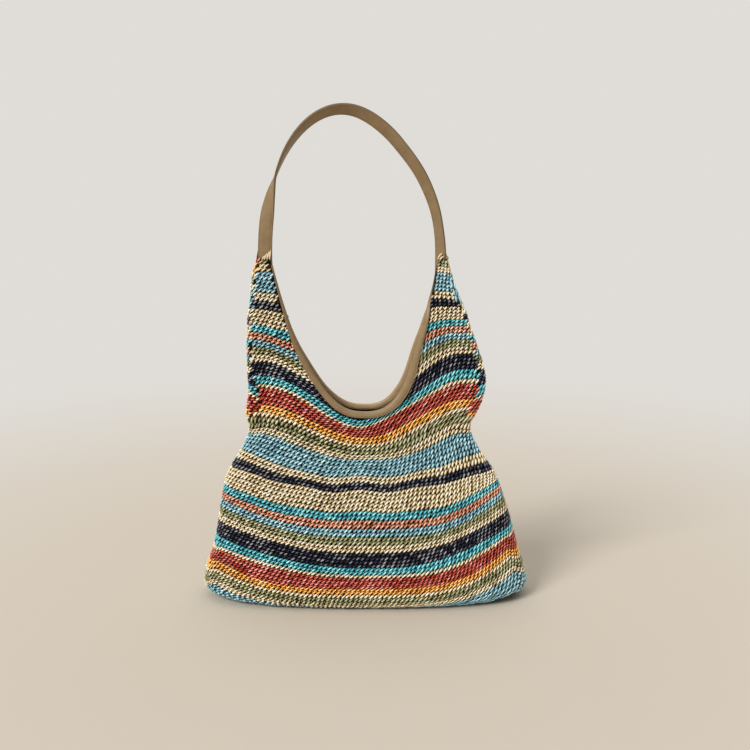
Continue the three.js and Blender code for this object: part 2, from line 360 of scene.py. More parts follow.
    def _of_side(self, right: np.ndarray, name: str, at: np.ndarray) -> np.ndarray:
        """Reads one profile of the side that each place is on.

        Args:
            right: 1 for places on the right side and -1 for those on the left.
            name: The profile's name in SideCourse.
            at: Rows or levels.

        Returns:
            The profile's values there.
        """
        return np.where(right > 0, getattr(self.right, name)(at), getattr(self.left, name)(at))

    def _half_sizes(self, level: np.ndarray) -> tuple[np.ndarray, np.ndarray, np.ndarray]:
        """Finds the form's half sizes.

        Args:
            level: Levels on the wall or under the base.

        Returns:
            Half widths, half depths and heights there.
        """
        roll = np.clip((self.belly_z - level) / self.edge_arc, 0.0, 1.0) * (math.pi / 2)
        under = np.maximum(0.0, self.belly_z - self.edge_arc - level)
        tuck = 1.0 - np.cos(roll)
        width = self.half_width(level) - tuck * (self.belly_width - self.base_width) / 2 - under
        depth = self.half_depth(level) - tuck * (self.belly_depth - self.base_depth) / 2 - under
        height = np.where(level < self.belly_z, self.belly_z * (1.0 - np.sin(roll)), level)
        return width, np.maximum(depth, 0.0), height

    def _fill_quarters(self) -> None:
        """Tabulates a quarter of the section at each level, in equal steps of its arc."""
        width, depth, _ = self._half_sizes(self.levels)
        power = 2.0 / self.roundness(self.levels)[:, None]
        fine_steps = 4 * self.share_steps
        angle = np.linspace(0.0, math.pi / 2, fine_steps + 1)
        x = width[:, None] * np.maximum(np.cos(angle), 0.0) ** power
        y = depth[:, None] * np.sin(angle) ** power
        arc = np.cumsum(np.hypot(np.diff(x), np.diff(y)), axis=1)
        arc = np.concatenate((np.zeros((len(arc), 1)), arc), axis=1)
        shares = np.linspace(0.0, 1.0, self.share_steps + 1)
        self.arc_length = arc[:, -1]
        self.quarter_x = np.array([np.interp(shares * a[-1], a, row) for a, row in zip(arc, x)])
        self.quarter_y = np.array([np.interp(shares * a[-1], a, row) for a, row in zip(arc, y)])

    def quarter_length(self, level: np.ndarray) -> np.ndarray:
        """Length of a quarter of the section at a level."""
        return np.interp(level, self.levels, self.arc_length)

    def _quarter(self, turn: np.ndarray) -> tuple[np.ndarray, np.ndarray, np.ndarray]:
        """Splits turns into quarters of the bag.

        Args:
            turn: Turns round the bag.

        Returns:
            The share of the quarter from the side to the middle, 1 on the right or -1 on the left, and 1
            on the back or -1 on the front.
        """
        turn = np.mod(turn, self.FULL_TURN)
        quadrant = np.floor(turn).astype(int) % 4
        step = turn - np.floor(turn)
        share = np.where(quadrant % 2 == 0, step, 1.0 - step)
        right = np.where((quadrant == 0) | (quadrant == 3), 1.0, -1.0)
        back = np.where(quadrant < 2, 1.0, -1.0)
        return share, right, back

    def _read(self, table: np.ndarray, share: np.ndarray, level: np.ndarray) -> np.ndarray:
        """Reads a table of section quarters, also between its entries.

        Args:
            table: The table, with a row for each level.
            share: Shares of the quarter from the side.
            level: Levels on the wall.

        Returns:
            The table's values there.
        """
        before_end = 0.001
        last = len(self.levels) - 1
        rung = np.clip((level - self.levels[0]) / self.level_step, 0.0, last - before_end)
        low = np.floor(rung).astype(int)
        column = np.clip(share * self.share_steps, 0.0, self.share_steps - before_end)
        left = np.floor(column).astype(int)
        up, along = rung - low, column - left
        below = table[low, left] * (1.0 - along) + table[low, left + 1] * along
        above = table[low + 1, left] * (1.0 - along) + table[low + 1, left + 1] * along
        return below * (1.0 - up) + above * up

    def outline_gap(self, turn: np.ndarray, level: np.ndarray) -> np.ndarray:
        """Finds how far places on the form are from its outline, measured across the bag.

        Args:
            turn: Turns round the bag.
            level: Levels on the wall.

        Returns:
            Distances in millimetres.
        """
        share, _, _ = self._quarter(turn)
        outline = self._read(self.quarter_x, np.zeros_like(share), level)
        return outline - self._read(self.quarter_x, share, level)

    def beyond_pleat(self, turn: np.ndarray, level: np.ndarray) -> np.ndarray:
        """Finds how far places are past the pleat's line, towards the side.

        Args:
            turn: Turns round the bag.
            level: Levels on the wall.

        Returns:
            Distances in millimetres, below 0 before the line and on the back.
        """
        _, right, back = self._quarter(turn)
        inset = self._of_side(right, "pleat_inset", level)
        return np.where(back > 0, -self.belly_width, inset - self.outline_gap(turn, level))

    def level(self, turn: np.ndarray, row: np.ndarray, slid: np.ndarray | bool = False) -> np.ndarray:
        """Finds where a row of crochet runs.

        Args:
            turn: Turns round the bag.
            row: Rows, counted from the base's edge.
            slid: Whether places on the front belong to the cloth beyond a pleat, which has slid down.

        Returns:
            The levels of those rows there.
        """
        share, right, back = self._quarter(turn)
        middle = self.middle_rows(row)
        side = self._of_side(right, "heights", row)
        from_side = smoothstep(share, self._of_side(right, "level_share", row), 1.0)
        risen = middle + (side - middle) * (1.0 - from_side) ** self._of_side(right, "power", row)
        across = right * (1.0 - share) * self.quarter_length(risen) - self.wave_dip
        risen = risen - self.wave(row) * share * np.cos(2.0 * math.pi * across / self.wave_length)
        gap = self.outline_gap(turn, risen)
        risen = risen - self._of_side(right, "sag", risen) * (1.0 - smoothstep(gap, 0.0, self.sag_reach))
        drop = self._of_side(right, "drop", risen)

        below = risen - drop
        on_strip = below - self._of_side(right, "slant", below) * self.outline_gap(turn, below)
        near_side = 1.0 - smoothstep(gap, 0.0, self.tuck_reach)
        on_panel = risen - drop * near_side * (1.0 - smoothstep(risen, self.pleat_low_z, self.pleat_high_z))
        reach = share * self.quarter_length(risen)
        on_back = risen - drop * (1.0 - smoothstep(reach, 0.0, self.back_fade))
        return np.where(back > 0, on_back, np.where(slid, on_strip, on_panel))

    def surface(self, turn: np.ndarray, level: np.ndarray) -> np.ndarray:
        """Finds points of the form, before the horns are turned.

        Args:
            turn: Turns round the bag.
            level: Levels on the wall.

        Returns:
            Points in millimetres, one a row.
        """
        share, right, back = self._quarter(turn)
        _, depth, z = self._half_sizes(level)
        pleated = smoothstep(level, self.pleat_low_z, self.pleat_high_z)
        shallow = (depth - self.tip_half_depth) / (self.shoulder_depth / 2 - self.tip_half_depth)
        crease = np.exp(-((self.beyond_pleat(turn, level) / self.pleat_half) ** 2))
        dent = self.pleat_depth * pleated * crease * np.clip(shallow, 0.0, 1.0)
        x = self.lean(z) + right * self._read(self.quarter_x, share, level)
        y = back * (self._read(self.quarter_y, share, level) - dent)
        return np.stack((x, y, z), axis=-1)

    def place(self, turn: np.ndarray, level: np.ndarray, out: np.ndarray) -> np.ndarray:
        """Finds points on or beside the form, before the horns are turned.

        Args:
            turn: Turns round the bag.
            level: Levels on the wall.
            out: Distances outwards from the form.

        Returns:
            Points in millimetres, one a row, none below the floor.
        """
        near_turn, near_level = 0.01, 0.5
        along = self.surface(turn + near_turn, level) - self.surface(turn - near_turn, level)
        upward = self.surface(turn, level + near_level) - self.surface(turn, level - near_level)
        normal = np.cross(along, upward)
        normal /= np.maximum(np.linalg.norm(normal, axis=-1, keepdims=True), TINY)
        points = self.surface(turn, level) + normal * np.asarray(out)[..., None]
        points[..., 2] = np.maximum(points[..., 2], 0.0)
        return points

    def mouth_field(self, points: np.ndarray) -> tuple[np.ndarray, np.ndarray]:
        """Finds how points lie to the mouth's edge, seen from the front.

        Args:
            points: Points in millimetres, before the horns are turned.

        Returns:
            Their distances from the edge, above 0 in the wall, and the directions into the wall.
        """
        x = points[..., 0] - self.mouth_lean(points[..., 2])
        beside = np.abs(x) / self.mouth_half
        rise = self.tip_z - self.mouth_z
        over = self.mouth_z + rise * beside ** self.mouth_power - points[..., 2]
        slope = np.sign(x) * self.mouth_power * rise / self.mouth_half * beside ** (self.mouth_power - 1.0)
        length = np.hypot(slope, 1.0)
        into_wall = np.stack((slope / length, np.zeros_like(slope), -1.0 / length), axis=-1)
        return over / length, into_wall

    def mouth_edge(self, share: np.ndarray, depth: np.ndarray) -> tuple[np.ndarray, np.ndarray]:
        """Finds places beside the mouth's edge.

        Args:
            share: Shares of the edge, from -1 at the left tip to 1 at the right tip.
            depth: Distances from the edge into the wall.

        Returns:
            X and Z of those places.
        """
        rise = self.tip_z - self.mouth_z
        reach = self.mouth_half * ((self.binding_end_z - self.mouth_z) / rise) ** (1.0 / self.mouth_power)
        x = reach * np.sign(share) * np.abs(share) ** self.edge_power
        z = self.mouth_z + rise * np.abs(x / self.mouth_half) ** self.mouth_power
        slope = self.mouth_power * (z - self.mouth_z) / np.where(np.abs(x) < TINY, 1.0, x)
        length = np.hypot(slope, 1.0)
        x, z = x + depth * slope / length, z - depth / length
        return x + self.mouth_lean(z), z

    def skin_depth(self, x: np.ndarray, z: np.ndarray) -> np.ndarray:
        """Finds how far the form is from the middle plane at places on its front or back.

        Args:
            x: X of the places.
            z: Z of the places.

        Returns:
            Distances in millimetres.
        """
        widest = 0.999
        beside = np.clip(np.abs(x - self.lean(z)) / self.half_width(z), 0.0, widest)
        power = self.roundness(z)
        return self.half_depth(z) * (1.0 - beside ** power) ** (1.0 / power)

    def turn_horns(self, points: np.ndarray) -> np.ndarray:
        """Turns the right horn about its own upright axis, as the strap's end is turned.

        Args:
            points: Points in millimetres.

        Returns:
            The turned points.
        """
        x, y, z = np.moveaxis(points, -1, 0)
        centre = self.lean(z) + self.strap_x
        turned = smoothstep(z, self.turn_z, self.binding_top_z)
        angle = np.where(x > self.lean(z), self.right_turn * turned, 0.0)
        dx = x - centre
        turned_x = centre + dx * np.cos(angle) - y * np.sin(angle)
        turned_y = dx * np.sin(angle) + y * np.cos(angle)
        return np.stack((turned_x, turned_y, z), axis=-1)


def add_node(
    tree: bpy.types.NodeTree, kind: str, settings: dict | None = None, links: dict | None = None,
) -> bpy.types.Node:
    """Adds a node with its settings and links.

    Args:
        tree: The node tree that gets the node.
        kind: The node's type name.
        settings: Properties by name, or input values by socket name or number.
        links: Output sockets by the name or number of the input that they feed.

    Returns:
        The new node.
    """
    node = tree.nodes.new(kind)
    for key, value in (settings or {}).items():
        if isinstance(key, str) and key in node.bl_rna.properties:
            setattr(node, key, value)
        else:
            node.inputs[key].default_value = value
    for key, source in (links or {}).items():
        tree.links.new(source, node.inputs[key])
    return node


def new_material(name: str) -> tuple[bpy.types.Material, bpy.types.NodeTree, bpy.types.Node]:
    """Starts a material.

    Args:
        name: The material's name.

    Returns:
        The material, its node tree and its Principled shader.
    """
    material = bpy.data.materials.new(name)
    material.use_nodes = True
    return material, material.node_tree, material.node_tree.nodes["Principled BSDF"]


@dataclass(frozen=True)
class StrawYarnFinish:
    """Paper straw: a twisted paper strip with a wax gloss, with painted highlights on its crests and painted
    shade between them.

    The strip's folds run along the strand, which the UV map unrolls. Their sizes are in millimetres. How pale
    a place is adds up from the fold, the stitch's own tone with the painted light of its height on the
    stitch, and a patch of the dye.
    """

    yarn: Yarn
    name: str
    strand_round: float = 6.48
    strand_length: float = 7.2
    fold_width: float = 0.72
    fold_length: float = 6.0
    fold_depth: float = 0.25
    dye_patch: float = 24.0
    patch_share: float = 0.5
    deepest: float = 0.65
    palest: float = 1.85
    # Along the colour ramp: painted shade between the strands, middle shades, and a painted highlight of the
    # wax gloss on the crests.
    gap_shade_share: float = 0.15
    shades: tuple[tuple[float, float], ...] = ((0.36, 0.85), (0.6, 1.25))
    crest_at: float = 0.95
    highlight_gain: float = 1.2
    highlight_tint: str = "#F4F3F0"
    highlight_share: float = 0.46
    roughness: float = 0.28
    specular: float = 0.3

    def material(self) -> bpy.types.Material:
        """Makes the yarn's material: each stitch has its own tone, and paler folds run along each strand.

        Returns:
            The material.
        """
        made, tree, shader = new_material(self.name)
        strand = add_node(tree, "ShaderNodeUVMap", {"uv_map": "UVMap"})
        folds_round = self.strand_round / self.fold_width
        folds_along = self.strand_length / self.fold_length
        stretched = add_node(
            tree, "ShaderNodeMapping", {"Scale": (folds_round, folds_along, 1.0)},
            {"Vector": strand.outputs["UV"]},
        )
        folds = add_node(
            tree, "ShaderNodeTexNoise", {"Scale": 1.0, "Detail": 2.0, "Roughness": 0.6},
            {"Vector": stretched.outputs["Vector"]},
        )
        where = add_node(tree, "ShaderNodeTexCoord")
        patches = add_node(
            tree, "ShaderNodeTexNoise", {"Scale": 1.0 / (self.dye_patch * MM), "Detail": 1.0},
            {"Vector": where.outputs["Object"]},
        )
        # The tone holds each stitch's own tone plus painted light: paler on its crests, darker deep down.
        tone = add_node(tree, "ShaderNodeAttribute", {"attribute_name": "tone"})
        folded = add_node(
            tree, "ShaderNodeMath", {"operation": "ADD"}, {0: folds.outputs["Fac"], 1: tone.outputs["Fac"]},
        )
        summed = add_node(
            tree, "ShaderNodeMath", {"operation": "MULTIPLY_ADD", 1: self.patch_share},
            {0: patches.outputs["Fac"], 2: folded.outputs[0]},
        )
        paleness = add_node(
            tree, "ShaderNodeMapRange", {"From Min": self.deepest, "From Max": self.palest},
            {"Value": summed.outputs[0]},
        )
        dyed = add_node(tree, "ShaderNodeValToRGB", None, {"Fac": paleness.outputs["Result"]})
        self._fill(dyed.color_ramp)
        tree.links.new(dyed.outputs["Color"], shader.inputs["Base Color"])
        bump = add_node(
            tree, "ShaderNodeBump", {"Strength": 0.5, "Distance": self.fold_depth * MM},
            {"Height": folds.outputs["Fac"]},
        )
        tree.links.new(bump.outputs["Normal"], shader.inputs["Normal"])
        shader.inputs["Roughness"].default_value = self.roughness
        shader.inputs["Specular IOR Level"].default_value = self.specular
        return made

    def _fill(self, ramp: bpy.types.ColorRamp) -> None:
        """Fills a colour ramp from painted shade between strands to painted highlights on the crests.

        Between strands the light meets the dye twice, so the painted shade there is the dye times itself. On
        the crests a share of near-white is added as a painted highlight of the wax gloss.

        Args:
            ramp: The ramp, with its first two stops.
        """
        dye = np.array(hex_colour(self.yarn.value))
        highlight_white = np.array(hex_colour(self.highlight_tint))
        first, last = ramp.elements
        # Painted shade between the strands.
        first.color = self.gap_shade_share * dye ** 2
        # The last stop is a painted highlight of the wax gloss on the crests.
        last.position = self.crest_at
        last.color = np.minimum(self.highlight_gain * dye + self.highlight_share * highlight_white, 1.0)
        for position, shade in self.shades:
            ramp.elements.new(position).color = hex_colour(self.yarn.value, shade)


@dataclass(frozen=True)
class StrawWallFinish:
    """The crochet seen between the stitches or from inside: the same straw in rows, with painted shade
    outside.

    The pattern has a soft bump for each stitch, as wide as a stitch on the bag's usual girth and one row
    high, and is painted darker towards the seams between the bumps, as shade. Each pass of the light through
    the dye deepens the stripes' colours, a painted shade of light that bounces between the strands. Sizes are
    in millimetres.
    """

    name: str
    shade: float
    light_passes: float
    rows: float
    girth: float = 650.0
    stitch_width: float = 5.0
    stitch_light: float = 1.15
    seam_light: float = 0.45
    bump_depth: float = 0.8
    roughness: float = 0.8
    specular: float = 0.1

    def material(self) -> bpy.types.Material:
        """Makes the wall's material from its stripe colours, with a bump for each stitch.

        Returns:
            The material.
        """
        made, tree, shader = new_material(self.name)
        stripe = add_node(tree, "ShaderNodeAttribute", {"attribute_name": "stripe"})
        place = add_node(tree, "ShaderNodeUVMap", {"uv_map": "UVMap"})
        scaled = add_node(
            tree, "ShaderNodeMapping", {"Scale": (self.girth / self.stitch_width, self.rows, 1.0)},
            {"Vector": place.outputs["UV"]},
        )
        cells = add_node(
            tree, "ShaderNodeTexVoronoi", {"Scale": 1.0, "Randomness": 0.35},
            {"Vector": scaled.outputs["Vector"]},
        )
        # Painted shade: darker towards the seams between the stitch bumps.
        light = add_node(
            tree, "ShaderNodeMapRange",
            {
                "From Max": 0.8, "To Min": self.shade * self.stitch_light,
                "To Max": self.shade * self.seam_light,
            },
            {"Value": cells.outputs["Distance"]},
        )
        dye = add_node(
            tree, "ShaderNodeGamma", {"Gamma": self.light_passes}, {"Color": stripe.outputs["Color"]},
        )
        dyed = add_node(
            tree, "ShaderNodeVectorMath", {"operation": "SCALE"},
            {0: dye.outputs["Color"], "Scale": light.outputs["Result"]},
        )
        tree.links.new(dyed.outputs["Vector"], shader.inputs["Base Color"])
        bump = add_node(
            tree, "ShaderNodeBump", {"Strength": 0.8, "Distance": self.bump_depth * MM, "invert": True},
            {"Height": cells.outputs["Distance"]},
        )
        tree.links.new(bump.outputs["Normal"], shader.inputs["Normal"])
        shader.inputs["Roughness"].default_value = self.roughness
        shader.inputs["Specular IOR Level"].default_value = self.specular
        return made


@dataclass(frozen=True)
class LeatherFinish:
    """Soft taupe leather, fine in the grain, with a satin finish that is paler where it is worn.

    Sizes are in millimetres. The real grain is finer, and is drawn as coarse as it needs to show.
    """

    name: str
    colour: str = "#8D7450"
    deep: str = "#7D6543"
    edge: str = "#5A4730"
    edge_share: float = 0.0
    grain: float = 0.9
    grain_depth: float = 0.15
    mottle: float = 14.0
    glossiest: float = 0.42
    dullest: float = 0.58

    def material(self) -> bpy.types.Material:
        """Makes the leather's material, with grain and mottling on object coordinates.

        Returns:
            The material.
        """
        made, tree, shader = new_material(self.name)
        where = add_node(tree, "ShaderNodeTexCoord")
        patches = add_node(
            tree, "ShaderNodeTexNoise", {"Scale": 1.0 / (self.mottle * MM), "Detail": 4.0, "Roughness": 0.6},
            {"Vector": where.outputs["Object"]},
        )
        cells = add_node(
            tree, "ShaderNodeTexVoronoi", {"Scale": 1.0 / (self.grain * MM), "Randomness": 0.9},
            {"Vector": where.outputs["Object"]},
        )
        rubbing = add_node(
            tree, "ShaderNodeMapRange", {"From Min": 0.25, "From Max": 0.6},
            {"Value": patches.outputs["Fac"]},
        )
        mixed = add_node(
            tree, "ShaderNodeMix",
            {"data_type": "RGBA", 6: hex_colour(self.deep), 7: hex_colour(self.colour)},
            {0: rubbing.outputs["Result"]},
        )
        if self.edge_share:
            mixed = self._painted(tree, mixed)
        tree.links.new(mixed.outputs[2], shader.inputs["Base Color"])
        gloss = add_node(
            tree, "ShaderNodeMapRange", {"To Min": self.glossiest, "To Max": self.dullest},
            {"Value": patches.outputs["Fac"]},
        )
        tree.links.new(gloss.outputs["Result"], shader.inputs["Roughness"])
        bump = add_node(
            tree, "ShaderNodeBump", {"Strength": 0.25, "Distance": self.grain_depth * MM, "invert": True},
            {"Height": cells.outputs["Distance"]},
        )
        tree.links.new(bump.outputs["Normal"], shader.inputs["Normal"])
        return made

    def _painted(self, tree: bpy.types.NodeTree, leather: bpy.types.Node) -> bpy.types.Node:
        """Adds dark edge paint where the section's UV comes round to either edge.

        Args:
            tree: The material's node tree.
            leather: The node that mixes the leather's colour.

        Returns:
            The node that mixes the paint over it.
        """
        edge_to_middle = 0.25
        section = add_node(tree, "ShaderNodeUVMap", {"uv_map": "UVMap"})
        parts = add_node(tree, "ShaderNodeSeparateXYZ", None, {"Vector": section.outputs["UV"]})
        from_edge = add_node(
            tree, "ShaderNodeMath", {"operation": "PINGPONG", 1: edge_to_middle}, {0: parts.outputs["Y"]},
        )
        paint = add_node(
            tree, "ShaderNodeMapRange", {"From Max": self.edge_share, "To Min": 1.0, "To Max": 0.0},
            {"Value": from_edge.outputs[0]},
        )
        return add_node(
            tree, "ShaderNodeMix", {"data_type": "RGBA", 7: hex_colour(self.edge)},
            {0: paint.outputs["Result"], 6: leather.outputs[2]},
        )


@dataclass(frozen=True)
class LeatherWithPaintedLight(LeatherFinish):
    """The same leather a shade paler, as painted light on the back binding, which stands in more shade."""

    colour: str = "#A68A63"
    deep: str = "#947A55"


def new_object(name: str, data: bpy.types.ID) -> bpy.types.Object:
    """Puts a new object into the scene.

    Args:
        name: The object's name.
        data: Its mesh, light or camera.

    Returns:
        The object.
    """
    made = bpy.data.objects.new(name, data)
    bpy.context.scene.collection.objects.link(made)
    return made


def add_piece(
    name: str, mesh: bpy.types.Mesh, materials: Sequence[bpy.types.Material],
    replaced: Sequence[str] = (),
) -> bpy.types.Object:
    """Puts a finished mesh into the scene as a piece that rides on the bag.

    Args:
        name: The piece's name.
        mesh: Its mesh, in metres.
        materials: Its materials.
        replaced: CAD nodes that the piece stands for.

    Returns:
        The new object.
    """
    mesh.name = name
    for material in materials:
        mesh.materials.append(material)
    mesh.shade_smooth()
    piece = new_object(name, mesh)
    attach(piece, BODY)
    if replaced:
        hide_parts(*replaced)
    LOG.info("%s: %d faces", name, len(mesh.polygons))
    return piece


def coordinates(mesh: bpy.types.Mesh) -> np.ndarray:
    """Reads a mesh's vertices.

    Args:
        mesh: The mesh.

    Returns:
        Their places, one a row, in the mesh's own units.
    """
    flat = np.empty(3 * len(mesh.vertices), np.float32)
    mesh.vertices.foreach_get("co", flat)
    return flat.reshape(-1, 3).astype(float)


def set_coordinates(mesh: bpy.types.Mesh, points: np.ndarray) -> None:
    """Moves a mesh's vertices to points in millimetres."""
    mesh.vertices.foreach_set("co", (points * MM).astype(np.float32).ravel())
    mesh.update()


def set_tones(mesh: bpy.types.Mesh, tones: np.ndarray) -> None:
    """Gives each vertex of a mesh its tone: its own tone of the yarn's dye, plus any painted light added to
    it.
    """
    layer = mesh.attributes.new("tone", "FLOAT", "POINT")
    layer.data.foreach_set("value", tones.astype(np.float32).ravel())


def new_bmesh() -> bmesh.types.BMesh:
    """Starts a bmesh with a UV map.

    Returns:
        The empty bmesh.
    """
    bm = bmesh.new()
    bm.loops.layers.uv.new("UVMap")
    return bm


def unit_grid(along: int, around: int) -> tuple[bmesh.types.BMesh, np.ndarray, np.ndarray]:
    """Starts a piece as a flat grid with a UV map.

    Args:
        along: Steps in X.
        around: Steps in Y.

    Returns:
        The grid, and its vertices' shares along X and Y.
    """
    bm = new_bmesh()
    bmesh.ops.create_grid(bm, x_segments=along, y_segments=around, size=0.5, calc_uvs=True)
    flat = np.array([v.co for v in bm.verts]) + 0.5
    return bm, flat[:, 0], flat[:, 1]


def move_vertices(bm: bmesh.types.BMesh, points: np.ndarray) -> None:
    """Moves a bmesh's vertices to points, one a row, in its own units."""
    for vert, point in zip(bm.verts, points):
        vert.co = point


def finished(bm: bmesh.types.BMesh, name: str) -> bpy.types.Mesh:
    """Turns a bmesh into a mesh and frees it.

    Args:
        bm: The bmesh.
        name: The mesh's name.

    Returns:
        The mesh.
    """
    mesh = bpy.data.meshes.new(name)
    bm.to_mesh(mesh)
    bm.free()
    return mesh


def swept(along: int, around: int, place: Place) -> bpy.types.Mesh:
    """Makes a closed tube by wrapping a grid.

    Args:
        along: Steps along the tube.
        around: Steps round its section.
        place: Gives points in millimetres from shares along and round the tube.

    Returns:
        The tube's mesh with both ends closed, in metres.
    """
    weld = 0.01 * MM
    bm, share_along, share_around = unit_grid(along, around)
    move_vertices(bm, place(share_along, share_around) * MM)
    bmesh.ops.remove_doubles(bm, verts=bm.verts, dist=weld)
    bmesh.ops.holes_fill(bm, edges=[e for e in bm.edges if e.is_boundary], sides=0)
    bmesh.ops.recalc_face_normals(bm, faces=bm.faces)
    return finished(bm, "swept")


def repeated(mesh: bpy.types.Mesh, count: int) -> bpy.types.Mesh:
    """Repeats a small mesh on the spot with an Array modifier.

    Args:
        mesh: The mesh to repeat.
        count: Number of copies.

    Returns:
        A mesh with all the copies, one after the other.
    """
    carrier = new_object("carrier", mesh)
    array = carrier.modifiers.new("copies", "ARRAY")
    array.count = count
    array.use_relative_offset = False
    evaluated = carrier.evaluated_get(bpy.context.evaluated_depsgraph_get())
    made = bpy.data.meshes.new_from_object(evaluated)
    bpy.data.objects.remove(carrier)
    return made


@dataclass(frozen=True)
class StitchLeg:
    """One leg of a crochet stitch: a plump strand on a curve with four control points, in millimetres."""

    points: tuple[tuple[float, float, float], ...]
    radius: float
    sides: int
    rings: int
    flatness: float = 0.85

    def add_to(self, bm: bmesh.types.BMesh) -> None:
        """Adds the leg to a bmesh as a stretched and bent ball.

        Args:
            bm: The bmesh that gets the leg.
        """
        made = bmesh.ops.create_uvsphere(
            bm, u_segments=self.sides, v_segments=self.rings, radius=1.0, calc_uvs=True,
        )
        a, b, c, d = (Vector(p) for p in self.points)
        outward = Vector((0.0, 0.0, 1.0))
        for vert in made["verts"]:
            t = (vert.co.z + 1.0) / 2.0
            s = 1.0 - t
            centre = a * s ** 3 + b * 3 * s * s * t + c * 3 * s * t * t + d * t ** 3
            along = ((b - a) * s * s + (c - b) * 2 * s * t + (d - c) * t * t).normalized()
            across = outward.cross(along).normalized()
            up = along.cross(across)
            vert.co = centre + across * vert.co.x * self.radius + up * vert.co.y * self.radius * self.flatness


@dataclass
class CrochetBody:
    """The crochet body: a wall in striped rows, and each stitch of straw yarn on it.

    Sizes are in millimetres. The wall lies on the bed, just inside the form, and the stitches stand on it.
    A long leg slants over each stitch, and a short one shows beside it.
    """

    form: BagForm
    stitch_width: float = 4.95
    row_height: float = 4.4
    row_drift: float = 0.37
    bed: float = -2.1
    sheet: float = 1.1
    ridge: float = 0.35
    turn_steps: int = 128
    row_steps: int = 2
    side_crowding: float = 1.6
    trim_passes: int = 3
    tip_corner: float = 1.0
    weld: float = 0.02
    sample_step: float = 0.25
    edge_room: float = 1.2
    tip_room: float = -0.4
    pleat_room: float = -0.5
    jitter: float = 0.38
    middle_tone: float = 0.5
    tone_spread: float = 0.11
    painted_crest_light: float = 0.84
    crest_low: float = 0.5
    crest_rise: float = 1.7
    legs: tuple[StitchLeg, ...] = (
        StitchLeg(((-2.5, -2.7, -0.6), (-1.5, -1.0, 1.5), (1.1, 0.9, 2.1), (2.6, 2.7, -0.3)), 1.04, 6, 5),
        StitchLeg(((-3.0, -0.8, -0.7), (-2.6, 0.3, 0.8), (-1.7, 1.5, 0.8), (-0.8, 2.7, -0.6)), 0.8, 4, 4),
    )
    stripes: list[Stripe] = field(default_factory=lambda: list(stripes()))

    def build(self) -> None:
        """Builds and dresses the wall and the stitches."""
        self._wall()
        rng = np.random.default_rng(SEED)
        for yarn in Yarn:
            self._yarn(yarn, rng)

    def _wall(self) -> None:
        """Builds the wall as one sheet wrapped on the form, cut at the mouth and the tips."""
        form = self.form
        bm, around, upward = unit_grid(self.turn_steps, self.row_steps * form.ROWS)
        turn, row = self._crowded(form.FULL_TURN * around), form.FIRST_ROW + form.ROWS * upward
        between_rows = np.round(self.row_steps * row) % self.row_steps == 0
        ridges = np.where(between_rows, -self.ridge, self.ridge)
        points = form.place(turn, form.level(turn, row), self.bed + ridges)
        self._dye(bm)
        self._cut(bm, points)
        bmesh.ops.remove_doubles(bm, verts=bm.verts, dist=self.weld * MM)
        bmesh.ops.recalc_face_normals(bm, faces=bm.faces)
        front = max(bm.faces, key=lambda f: -f.calc_center_median().y)
        if front.normal.y > 0:
            bmesh.ops.reverse_faces(bm, faces=bm.faces)
        mesh = finished(bm, "wall")
        # The outer side is a dark copy of the stripes, painted shade between the stitches; the inside is
        # nearly the plain colour.
        gaps = StrawWallFinish("painted_shade_in_the_gaps", shade=0.06, light_passes=2.0, rows=form.ROWS).material()
        inside = StrawWallFinish("straw_inside", shade=0.85, light_passes=1.0, rows=form.ROWS).material()
        wall = add_piece("crochet_wall", mesh, [gaps, inside], ["crochet_body"])
        thick = wall.modifiers.new("wall", "SOLIDIFY")
        thick.thickness = self.sheet * MM
        thick.offset = -1.0
        thick.material_offset = 1

    def _crowded(self, turn: np.ndarray) -> np.ndarray:
        """Moves even turns towards the sides, where the pleats need finer steps.

        Args:
            turn: Even turns round the bag.

        Returns:
            The crowded turns.
        """
        whole = np.floor(turn)
        step = turn - whole
        from_side = whole % 2 == 0
        crowded = np.where(from_side, step, 1.0 - step) ** self.side_crowding
        return whole + np.where(from_side, crowded, 1.0 - crowded)

    def _dye(self, bm: bmesh.types.BMesh) -> None:
        """Gives each face of the flat sheet the colour of its row's stripe.

        Args:
            bm: The flat sheet.
        """
        form = self.form
        layer = bm.loops.layers.float_color.new("stripe")
        colours = {s.first + i: hex_colour(s.yarn.value) for s in self.stripes for i in range(s.rows)}
        for face in bm.faces:
            row = form.FIRST_ROW + form.ROWS * (face.calc_center_median().y + 0.5)
            colour = colours[max(0, math.floor(row))]
            for loop in face.loops:
                loop[layer] = colour

    def _cut(self, bm: bmesh.types.BMesh, points: np.ndarray) -> None:
        """Wraps the sheet on the form and trims it to the mouth's edge and the tips.

        Args:
            bm: The flat sheet.
            points: Where its vertices go, in millimetres, before the horns are turned.
        """
        form = self.form
        move_vertices(bm, points)
        middles = np.array([f.calc_center_median() for f in bm.faces])
        gap, _ = form.mouth_field(middles)
        gone = (gap < 0) | (middles[:, 2] > form.tip_z)
        bmesh.ops.delete(bm, geom=[f for f, out in zip(bm.faces, gone) if out], context="FACES")
        places = np.array([v.co for v in bm.verts])
        rim = np.array([any(e.is_boundary for e in v.link_edges) for v in bm.verts])
        gap, _ = form.mouth_field(places)
        at_tip = rim & (np.abs(places[:, 2] - form.tip_z) < self.row_height) & (gap > self.tip_corner)
        at_mouth = rim & (np.abs(gap) < 2 * self.row_height) & ~at_tip
        for _ in range(self.trim_passes):
            gap, into_wall = form.mouth_field(places)
            places -= np.where(at_mouth, gap, 0.0)[:, None] * into_wall
        places[:, 2] = np.where(at_tip, form.tip_z, places[:, 2])
        move_vertices(bm, form.turn_horns(places) * MM)

    def _stitch(self) -> bpy.types.Mesh:
        """Builds one stitch.

        Returns:
            The stitch's mesh in millimetres, flat, with its middle at the origin.
        """
        bm = new_bmesh()
        for leg in self.legs:
            leg.add_to(bm)
        return finished(bm, "stitch")

